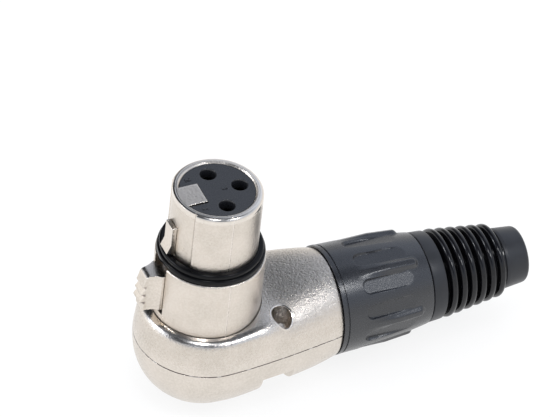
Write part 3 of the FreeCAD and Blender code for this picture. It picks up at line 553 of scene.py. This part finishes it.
def parting_line(finish):
    """Thin uneven gap where the two halves meet, painted dark as the shade in it, with
    painted glints as bright spots. The crest at the sleeve's foot, the rims of the wells and,
    less so, the sides are polished, and lightened as a painted highlight."""
    along, across, height = (finish.axis(finish.place, letter) for letter in "XYZ")
    uneven = finish.grain(1.1, 3.0, 0.6)
    wave = (finish.grain(0.7) - 0.5) * (0.10 * MM)
    line = (finish.band(abs(height + wave - AXIS_HEIGHT * MM), 0.13 * MM, 0.05 * MM)
            * finish.band(uneven, 0.30, 0.42))
    tint = finish.mixed(finish.band(uneven, 0.56, 0.62), GAP_SHADE, GAP_GLINT)
    crest = (finish.band(height, CREST_FOOT * MM, CREST_TOP * MM)
             * finish.band(along, 12.0 * MM, 3.0 * MM))
    from_screw = along - SCREW_ALONG * MM
    beside_screw = abs(across) - SCREW_ACROSS * MM
    reach = finish.node("ShaderNodeMath", {"operation": "SQRT"}, (
        from_screw * from_screw + beside_screw * beside_screw,))
    rim = (finish.band(reach, WELL_RIM * MM, (WELL_RIM - 0.08) * MM)
           * finish.band(reach, WELL_RADIUS * MM, (WELL_RADIUS + 0.04) * MM)
           * finish.band(height, AXIS_HEIGHT * MM, (AXIS_HEIGHT + 0.5) * MM))
    sides = finish.band(height, SIDE_TOP * MM, SIDE_FOOT * MM)
    return line, tint, rim * 1.5 - line * 1.2, crest * 0.8 + rim + sides * 0.4


cast_nickel = nickel("cast_nickel", 0.93, 0.29, 0.07, 0.11, parting_line)
dress("housing_upper", cast_nickel)
dress("housing_lower", cast_nickel)

# Housing screws: two cross-head machine screws put in from below; their tips show in the
# wells on top.
TIP_FOOT = -30.7
TIP_TOP = -27.98
THREADS = 5
THREAD_PITCH = 0.42
THREAD_ROOT = 1.06
THREAD_CREST = 1.23


def closed_poles(piece):
    """Merge the points that meet on the axis of a turned piece."""
    form = bmesh.new()
    form.from_mesh(piece.data)
    bmesh.ops.remove_doubles(form, verts=form.verts, dist=MERGE_DISTANCE * MM)
    bmesh.ops.dissolve_degenerate(form, edges=form.edges, dist=0.0001 * MM)
    form.to_mesh(piece.data)
    form.free()
    return outward(piece)


def node_tree(name, **inputs):
    """Geometry tree that takes a geometry and the inputs named here, each with its kind.
    Gives the tree and the sockets that bring those inputs in."""
    tree = bpy.data.node_groups.new(name, "GeometryNodeTree")
    tree.interface.new_socket("Geometry", in_out="INPUT", socket_type="NodeSocketGeometry")
    for label, kind in inputs.items():
        tree.interface.new_socket(label, in_out="INPUT", socket_type=f"NodeSocket{kind}")
    tree.interface.new_socket("Geometry", in_out="OUTPUT", socket_type="NodeSocketGeometry")
    return tree, tree.nodes.new("NodeGroupInput").outputs


def connect(tree, socket, value):
    """Link another node's output to a socket, or set the socket to a plain value."""
    if isinstance(value, bpy.types.NodeSocket):
        tree.links.new(value, socket)
    else:
        socket.default_value = value


def add(tree, kind, **sockets):
    """Add a node to a geometry tree and give its first output. In the names of sockets
    _ stands for a space."""
    node = tree.nodes.new(kind)
    for label, value in sockets.items():
        connect(tree, node.inputs[label.replace("_", " ")], value)
    return node.outputs[0]


def worked_out(tree, operation, *values):
    """Add a Math node to a geometry tree and give its result."""
    node = tree.nodes.new("ShaderNodeMath")
    node.operation = operation
    for socket, value in zip(node.inputs, values):
        connect(tree, socket, value)
    return node.outputs[0]


def coat_and_close(tree, geometry, finish):
    """End a tree with the geometry in its finish."""
    coated = add(tree, "GeometryNodeSetMaterial", Geometry=geometry, Material=finish)
    tree.links.new(coated, tree.nodes.new("NodeGroupOutput").inputs["Geometry"])


def run_tree(piece, tree, **values):
    """Run a tree on a piece with values for its named inputs, and keep the plain mesh."""
    modifier = piece.modifiers.new(tree.name, "NODES")
    modifier.node_group = tree
    for item in tree.interface.items_tree:
        if item.in_out == "INPUT" and item.name in values:
            modifier[item.identifier] = values[item.name]
    return baked(piece)


screw_nickel = plain_metal("screw_nickel", 0.08, 2.0, (0.66, 0.66, 0.68),
                           (0.82, 0.82, 0.84), 0.2, 0.003)
dress("housing_screws", screw_nickel)
thread = [(TIP_FOOT, 0.0), (TIP_FOOT, 1.02)]
for number in range(THREADS):
    low = TIP_FOOT + 0.1 + number * THREAD_PITCH
    thread += [(low, THREAD_ROOT), (low + 0.17, THREAD_CREST), (low + 0.25, THREAD_CREST)]
thread += [(TIP_TOP - 0.44, 1.05), (TIP_TOP - 0.22, 1.0), (TIP_TOP - 0.04, 0.78),
           (TIP_TOP, 0.62), (TIP_TOP - 0.08, 0.3), (TIP_TOP - 0.1, 0.0)]
tips = closed_poles(turned("screw_tips", thread, screw_nickel, upright=True, steps=48))
pair, given = node_tree("screws_in_pair", Count="Int", Along="Float", Across="Float",
                        Finish="Material")
first_at = add(pair, "ShaderNodeCombineXYZ", X=given["Along"],
               Y=worked_out(pair, "MULTIPLY", given["Across"], -1.0))
stride = add(pair, "ShaderNodeCombineXYZ",
             Y=worked_out(pair, "MULTIPLY", given["Across"], 2.0))
row = add(pair, "GeometryNodeMeshLine", Count=given["Count"], Start_Location=first_at,
          Offset=stride)
copies = add(pair, "GeometryNodeInstanceOnPoints", Points=row, Instance=given["Geometry"])
solid = add(pair, "GeometryNodeRealizeInstances", Geometry=copies)
coat_and_close(pair, solid, given["Finish"])
run_tree(tips, pair, Count=2, Along=SCREW_ALONG * MM, Across=SCREW_ACROSS * MM,
         Finish=screw_nickel)
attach(tips, "housing")

# Chuck: slit plastic sleeve that sits in the housing's neck. The collar nut closes it
# round the cable's jacket as it is tightened.
dress("chuck", moulded("chuck_plastic", (0.030, 0.030, 0.032), 0.38))

# Collar nut: black glass-filled plastic, screwed onto the neck, with six wedge grips and
# pairs of pill-shaped recesses between them.
COLLAR_START = 22.75
COLLAR_END = COLLAR_START + 17.85
COLLAR_RADIUS = 9.8
COLLAR_TAIL = 8.2
COLLAR_BORE = 8.06
POCKET_START = 33.7
POCKET_RADIUS = 7.4
TAIL_WALL = COLLAR_END - 2.0
TAIL_HOLE = 5.9
LIP_END = COLLAR_START + 0.75
LIP_EDGE = 0.06
LIP_GROOVE = COLLAR_RADIUS - 0.28
BELLY_START = LIP_END + 0.3
BELLY_RADIUS = COLLAR_RADIUS - 0.075
BELLY_RISE = 0.35
BELLY_END = COLLAR_END - 0.12
GRIPS = 6
GRIP_TURN = 25.0
GRIP_START = COLLAR_START + 2.45
GRIP_END = COLLAR_END - 2.0
GRIP_HALF_WIDTH = 1.1
GRIP_CREST = COLLAR_START + 10.25
PILL_START = COLLAR_START + 4.45
PILL_TURN = 16.0
PILL_FLOOR = COLLAR_RADIUS - 0.75
PILL_SLOPE = 0.03
PILL_HALF_WIDTH = 1.3
SECTOR_STEPS = 84
BELLY_STEPS = 136


def step_between(value, low, high):
    """Smooth step of a number from 0 at low to 1 at high."""
    share = min(max((value - low) / (high - low), 0.0), 1.0)
    return share * share * (3 - 2 * share)


def belly(along):
    """Radius of the plain collar behind its lip: a shallow arc down to the tail."""
    share = (along - BELLY_START) / (COLLAR_END - BELLY_START)
    plain = BELLY_RADIUS + (COLLAR_TAIL - BELLY_RADIUS) * share
    return plain + BELLY_RISE * 4 * share * (1 - share)


def stadium(along, across, start, end, half_width):
    """Distance to the rim of a round-ended slot, negative inside."""
    nearest = min(max(along, start + half_width), end - half_width)
    return math.hypot(along - nearest, across) - half_width


def grip_crest(along):
    """Radius of a grip's back: rises a little to its crest and falls towards the tail."""
    if along < GRIP_CREST:
        share = (along - GRIP_START) / (GRIP_CREST - GRIP_START)
        return COLLAR_RADIUS - 0.15 + 0.10 * share
    share = (along - GRIP_CREST) / (GRIP_END - GRIP_CREST)
    return COLLAR_RADIUS - 0.05 - 0.50 * share


def collar_radius(along, angle):
    """Outer radius at a place along the collar and an angle in degrees from a grip."""
    plain = belly(along)
    across = math.radians(angle) * plain
    depth = -stadium(along, across, GRIP_START, GRIP_END, GRIP_HALF_WIDTH)
    radius = plain + max(grip_crest(along) - plain, 0.0) * step_between(depth, -0.12, 0.75)
    for middle in (-PILL_TURN, PILL_TURN):
        aside = math.radians(angle - middle)
        depth = -stadium(along, aside * plain, PILL_START, GRIP_END, PILL_HALF_WIDTH)
        floor = (PILL_FLOOR - PILL_SLOPE * (along - PILL_START)) / math.cos(aside)
        radius -= max(plain - floor, 0.0) * step_between(depth, -0.10, 0.10)
    return radius


sector_outline = [(COLLAR_START, COLLAR_BORE), (COLLAR_START, COLLAR_RADIUS - LIP_EDGE),
                  (COLLAR_START + LIP_EDGE, COLLAR_RADIUS),
                  (LIP_END - LIP_EDGE, COLLAR_RADIUS), (LIP_END, COLLAR_RADIUS - LIP_EDGE),
                  (LIP_END, LIP_GROOVE), (BELLY_START, LIP_GROOVE)]
for step in range(BELLY_STEPS + 1):
    along = BELLY_START + (BELLY_END - BELLY_START) * step / BELLY_STEPS
    sector_outline.append((along, None))
sector_outline += [(COLLAR_END - 0.03, COLLAR_TAIL - 0.08), (COLLAR_END, COLLAR_TAIL - 0.2),
                   (COLLAR_END, TAIL_HOLE), (TAIL_WALL, TAIL_HOLE),
                   (TAIL_WALL, POCKET_RADIUS), (POCKET_START, POCKET_RADIUS),
                   (POCKET_START, COLLAR_BORE)]
sector_points = []
for along, out in sector_outline:
    for step in range(SECTOR_STEPS + 1):
        angle = 360.0 / GRIPS * (step / SECTOR_STEPS - 0.5)
        radius = collar_radius(along, angle) if out is None else out
        turn = math.radians(angle)
        sector_points.append((along, -radius * math.sin(turn), radius * math.cos(turn)))
sector_faces = faces_between(len(sector_outline), SECTOR_STEPS + 1, SECTOR_STEPS)
collar_plastic = moulded("collar_plastic", (0.010, 0.0108, 0.0138), 0.27, 0.24, 0.02)
collar = own_mesh("collar_nut_moulded", sector_points, sector_faces, collar_plastic)
around, given = node_tree("grips_around", Count="Int", Turn="Float", Height="Float",
                          Finish="Material")
places = add(around, "GeometryNodePoints", Count=given["Count"])
spacing = worked_out(around, "DIVIDE", 2 * math.pi, given["Count"])
turning = worked_out(around, "MULTIPLY_ADD", add(around, "GeometryNodeInputIndex"), spacing,
                     given["Turn"])
heading = add(around, "ShaderNodeCombineXYZ", X=turning)
copies = add(around, "GeometryNodeInstanceOnPoints", Points=places,
             Instance=given["Geometry"], Rotation=heading)
solid = add(around, "GeometryNodeRealizeInstances", Geometry=copies)
joined = add(around, "GeometryNodeMergeByDistance", Geometry=solid, Distance=0.002 * MM)
lift = add(around, "ShaderNodeCombineXYZ", Z=given["Height"])
placed = add(around, "GeometryNodeTransform", Geometry=joined, Translation=lift)
coat_and_close(around, placed, given["Finish"])
run_tree(collar, around, Count=GRIPS, Turn=math.radians(GRIP_TURN),
         Height=AXIS_HEIGHT * MM, Finish=collar_plastic)
outward(collar)
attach(collar, "collar")
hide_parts("collar_nut")

# Boot: soft rubber sleeve held in the collar's tail by its foot, with a plain band, six
# flexible rings on a slimmer core, and a rounded end cap.
FOOT_START = 33.75
FOOT_END = 38.55
FOOT_RADIUS = 7.34
FOOT_BORE = 6.05
NECK_RADIUS = 5.84
THROAT_START = 37.35
THROAT_BORE = 3.9
CABLE_BORE = 3.5
BAND_START = COLLAR_END + 0.15
BAND_END = BAND_START + 2.7
BOOT_CORE = 5.2
BOOT_RINGS = 6
RINGS_LENGTH = 12.55
RING_PITCH = RINGS_LENGTH / (BOOT_RINGS + 0.4)
RING_LEAD = 0.75 * RING_PITCH
FIRST_RING = 7.9
LAST_RING = 6.6
RING_HALF_WIDTH = 0.6
RING_FOOT = RING_HALF_WIDTH + 0.12
CREST_ROUNDING = 0.597
CAP_START = BAND_END + RINGS_LENGTH
BOOT_END = CAP_START + 4.6


def ring_polish(finish):
    """The rings come from a polished part of the mould."""
    along = finish.axis(finish.place, "X")
    return (finish.band(along, (BAND_END - 0.1) * MM, (BAND_END + 0.2) * MM)
            * finish.band(along, (CAP_START + 0.1) * MM, (CAP_START - 0.2) * MM))


boot_rubber = rubber("boot_rubber", (0.015, 0.016, 0.019), 0.37, 0.008, 0.4, ring_polish)
boot = turned("boot_moulded", rounded([
    (FOOT_START, FOOT_BORE, 0.0),
    (FOOT_START, FOOT_RADIUS, 0.1),
    (FOOT_END, FOOT_RADIUS, 0.0),
    (FOOT_END, NECK_RADIUS, 0.0),
    (BAND_START, NECK_RADIUS, 0.0),
    (BAND_START, 8.1, 0.18),
    (BAND_END, 7.9, 0.30),
    (BAND_END, BOOT_CORE, 0.25),
    (CAP_START, BOOT_CORE, 0.2),
    (CAP_START, 5.4, 0.15),
    (CAP_START + 0.6, 5.42, 0.3),
    (BOOT_END, 5.0, 0.95),
    (BOOT_END, CABLE_BORE, 0.25),
    (BOOT_END - 8.0, CABLE_BORE, 0.0),
    (BOOT_END - 9.6, THROAT_BORE, 0.0),
    (THROAT_START, THROAT_BORE, 0.0),
    (THROAT_START, 5.05, 0.0),
    (FOOT_START + 0.25, FOOT_BORE, 0.0),
]), boot_rubber, height=AXIS_HEIGHT)
ring_blank = turned("ring_blank", rounded([
    (-RING_FOOT, BOOT_CORE - 0.3, 0.0),
    (-RING_FOOT, BOOT_CORE + 0.02, 0.1),
    (-RING_HALF_WIDTH, BOOT_CORE + 0.4, 0.4),
    (-RING_HALF_WIDTH, FIRST_RING, CREST_ROUNDING),
    (RING_HALF_WIDTH, FIRST_RING, CREST_ROUNDING),
    (RING_HALF_WIDTH, BOOT_CORE + 0.4, 0.4),
    (RING_FOOT, BOOT_CORE + 0.02, 0.1),
    (RING_FOOT, BOOT_CORE - 0.3, 0.0),
], 10), boot_rubber)
flexing, given = node_tree("boot_rings", Rings="Int", First="Float", Pitch="Float",
                           Shrink="Float", Height="Float", Finish="Material")
first_at = add(flexing, "ShaderNodeCombineXYZ", X=given["First"], Z=given["Height"])
stride = add(flexing, "ShaderNodeCombineXYZ", X=given["Pitch"])
row = add(flexing, "GeometryNodeMeshLine", Count=given["Rings"], Start_Location=first_at,
          Offset=stride)
smaller = worked_out(flexing, "MULTIPLY_ADD", add(flexing, "GeometryNodeInputIndex"),
                     given["Shrink"], 1.0)
girth = add(flexing, "ShaderNodeCombineXYZ", X=1.0, Y=smaller, Z=smaller)
copies = add(flexing, "GeometryNodeInstanceOnPoints", Points=row,
             Instance=given["Geometry"], Scale=girth)
solid = add(flexing, "GeometryNodeRealizeInstances", Geometry=copies)
coat_and_close(flexing, solid, given["Finish"])
run_tree(ring_blank, flexing, Rings=BOOT_RINGS, First=(BAND_END + RING_LEAD) * MM,
         Pitch=RING_PITCH * MM, Shrink=(LAST_RING / FIRST_RING - 1) / (BOOT_RINGS - 1),
         Height=AXIS_HEIGHT * MM, Finish=boot_rubber)
form = bmesh.new()
form.from_mesh(boot.data)
form.from_mesh(ring_blank.data)
form.to_mesh(boot.data)
form.free()
bpy.data.objects.remove(ring_blank)
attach(boot, "boot")
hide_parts("boot")

# Studio: a pale paper floor under the part, plain surroundings with the lighter and darker
# patches that the metal mirrors, soft lamps, and the camera at the photo's angle.
FLOOR_HEIGHT = -45.3
FLOOR_RADIUS = 3000.0
FLOOR_SIDES = 60
WHITE_SHARE = 0.86
TARGET = Vector((22.0, 0.0, -22.0))
LAMP_DISTANCE = 800.0
# The photo's size in pixels, and where it shows the barrel's axis meet the cable's.
PICTURE_WIDTH = 550.0
PICTURE_HEIGHT = 417.0
AXES_RIGHT = 201.85
AXES_DOWN = 329.0
PIXELS_PER_MM = 5.795
AZIMUTH = -28.343
ELEVATION = 42.449
ROLL = 6.837
DISTANCE = 1230.0
SENSOR_WIDTH = 36.0

floor_paper = Finish("floor_paper", Roughness=0.9)
paper = floor_paper.mixed(floor_paper.grain(3.0), (0.86, 0.86, 0.86), (0.88, 0.88, 0.88))
floor_paper.feed(floor_paper.shader.inputs["Base Color"], paper)
camera_ray, glossy_ray, glass_ray = (
    floor_paper.node("ShaderNodeLightPath", output=f"Is {kind} Ray")
    for kind in ("Camera", "Glossy", "Transmission"))
white = floor_paper.node("ShaderNodeEmission", None, {
    "Color": (1.0, 1.0, 1.0), "Strength": 1.0})
blend = floor_paper.node("ShaderNodeMixShader", None, (
    (camera_ray + glossy_ray + glass_ray) * WHITE_SHARE,
    Wire(floor_paper, floor_paper.shader.outputs[0]), white))
floor_paper.feed(floor_paper.tree.nodes["Material Output"].inputs["Surface"], blend)
floor_turns = [math.radians(360 / FLOOR_SIDES * side) for side in range(FLOOR_SIDES)]
floor = own_mesh("floor", [(math.cos(turn) * FLOOR_RADIUS, math.sin(turn) * FLOOR_RADIUS,
                            FLOOR_HEIGHT) for turn in floor_turns],
                 [tuple(range(FLOOR_SIDES))], floor_paper.material)


def direction(azimuth, elevation):
    """Direction from the part, by degrees round from the front and degrees up."""
    azimuth, elevation = math.radians(azimuth), math.radians(elevation)
    return Vector((math.sin(azimuth) * math.cos(elevation),
                   -math.cos(azimuth) * math.cos(elevation), math.sin(elevation)))


world = bpy.data.worlds.new("surroundings")
bpy.context.scene.world = world
world.use_nodes = True
air = Nodes(world.node_tree)
sky_way = air.node("ShaderNodeTexCoord", output="Generated")
sky_height = air.axis(sky_way, "Z")
light = 0.90 - 0.50 * air.band(sky_height, 0.40, 0.95)
# A patch has a direction, the inner and outer radius of its soft rim in degrees, and a level.
for azimuth, elevation, inner, outer, value in (
        (-112, 4, 14, 46, 1.30), (-165, 66, 15, 45, 0.12), (75, 76, 6, 24, 0.10),
        (-74, 50, 14, 30, 0.06), (-5, 44, 7, 20, 0.10), (-163, 36, 15, 35, 0.03),
        (178, 12, 8, 24, 0.20), (122, 34, 10, 24, 0.95), (-113, 37, 10, 22, 1.60),
        (33, 53, 9, 19, 1.20), (-28, 70, 7, 15, 1.40), (128, 57, 5, 13, 0.80),
        (151, 42, 6, 12, 0.66)):
    facing = air.dot(sky_way, direction(azimuth, elevation))
    share = air.band(facing, math.cos(math.radians(outer)), math.cos(math.radians(inner)))
    light = light + (value - light) * share
seen = air.node("ShaderNodeLightPath", output="Is Camera Ray")
overhead = air.mixed(air.band(sky_height, 0.10, 0.55), (1.0, 1.0, 1.0), (0.84, 0.93, 1.10))
background = air.tree.nodes["Background"]
air.feed(background.inputs["Color"], air.mixed(seen, overhead, (1.0, 1.0, 1.0)))
air.feed(background.inputs["Strength"], light + (1.0 - light) * seen)

for label, azimuth, elevation, width, brightness in (
        ("left_box", -113, 37, 150.0, 11.0), ("front_box", 32, 55, 130.0, 15.0),
        ("top_box", -28, 70, 120.0, 14.0), ("ceiling", 0, 90, 1200.0, 2.2)):
    lamp = bpy.data.lights.new(label, "AREA")
    lamp.size = width * MM
    lamp.energy = brightness * math.pi * (width * MM) ** 2
    stand = bpy.data.objects.new(label, lamp)
    stand.location = (TARGET + direction(azimuth, elevation) * LAMP_DISTANCE) * MM
    stand.visible_glossy = label != "ceiling"
    stand.rotation_euler = direction(azimuth, elevation).to_track_quat("Z", "Y").to_euler()
    bpy.context.scene.collection.objects.link(stand)

back_way = direction(AZIMUTH, ELEVATION)
turn, roll = math.radians(AZIMUTH), math.radians(ROLL)
level_way = Vector((math.cos(turn), math.sin(turn), 0))
rise_way = back_way.cross(level_way)
right_way = math.cos(roll) * level_way + math.sin(roll) * rise_way
up_way = math.cos(roll) * rise_way - math.sin(roll) * level_way
axes_across = (AXES_RIGHT - PICTURE_WIDTH / 2) / PIXELS_PER_MM
axes_up = (PICTURE_HEIGHT / 2 - AXES_DOWN) / PIXELS_PER_MM
eye = (DISTANCE * back_way - axes_across * right_way - axes_up * up_way
       + Vector((0, 0, AXIS_HEIGHT))) * MM
lens = bpy.data.cameras.new("camera")
lens.sensor_width = SENSOR_WIDTH
lens.lens = SENSOR_WIDTH * PIXELS_PER_MM * DISTANCE / PICTURE_WIDTH
lens.clip_end = 20.0
camera = bpy.data.objects.new("camera", lens)
standpoint = Matrix((right_way, up_way, back_way)).transposed().to_4x4()
standpoint.translation = eye
camera.matrix_world = standpoint
bpy.context.scene.collection.objects.link(camera)
bpy.context.scene.camera = camera
bpy.context.scene.view_settings.view_transform = "Standard"
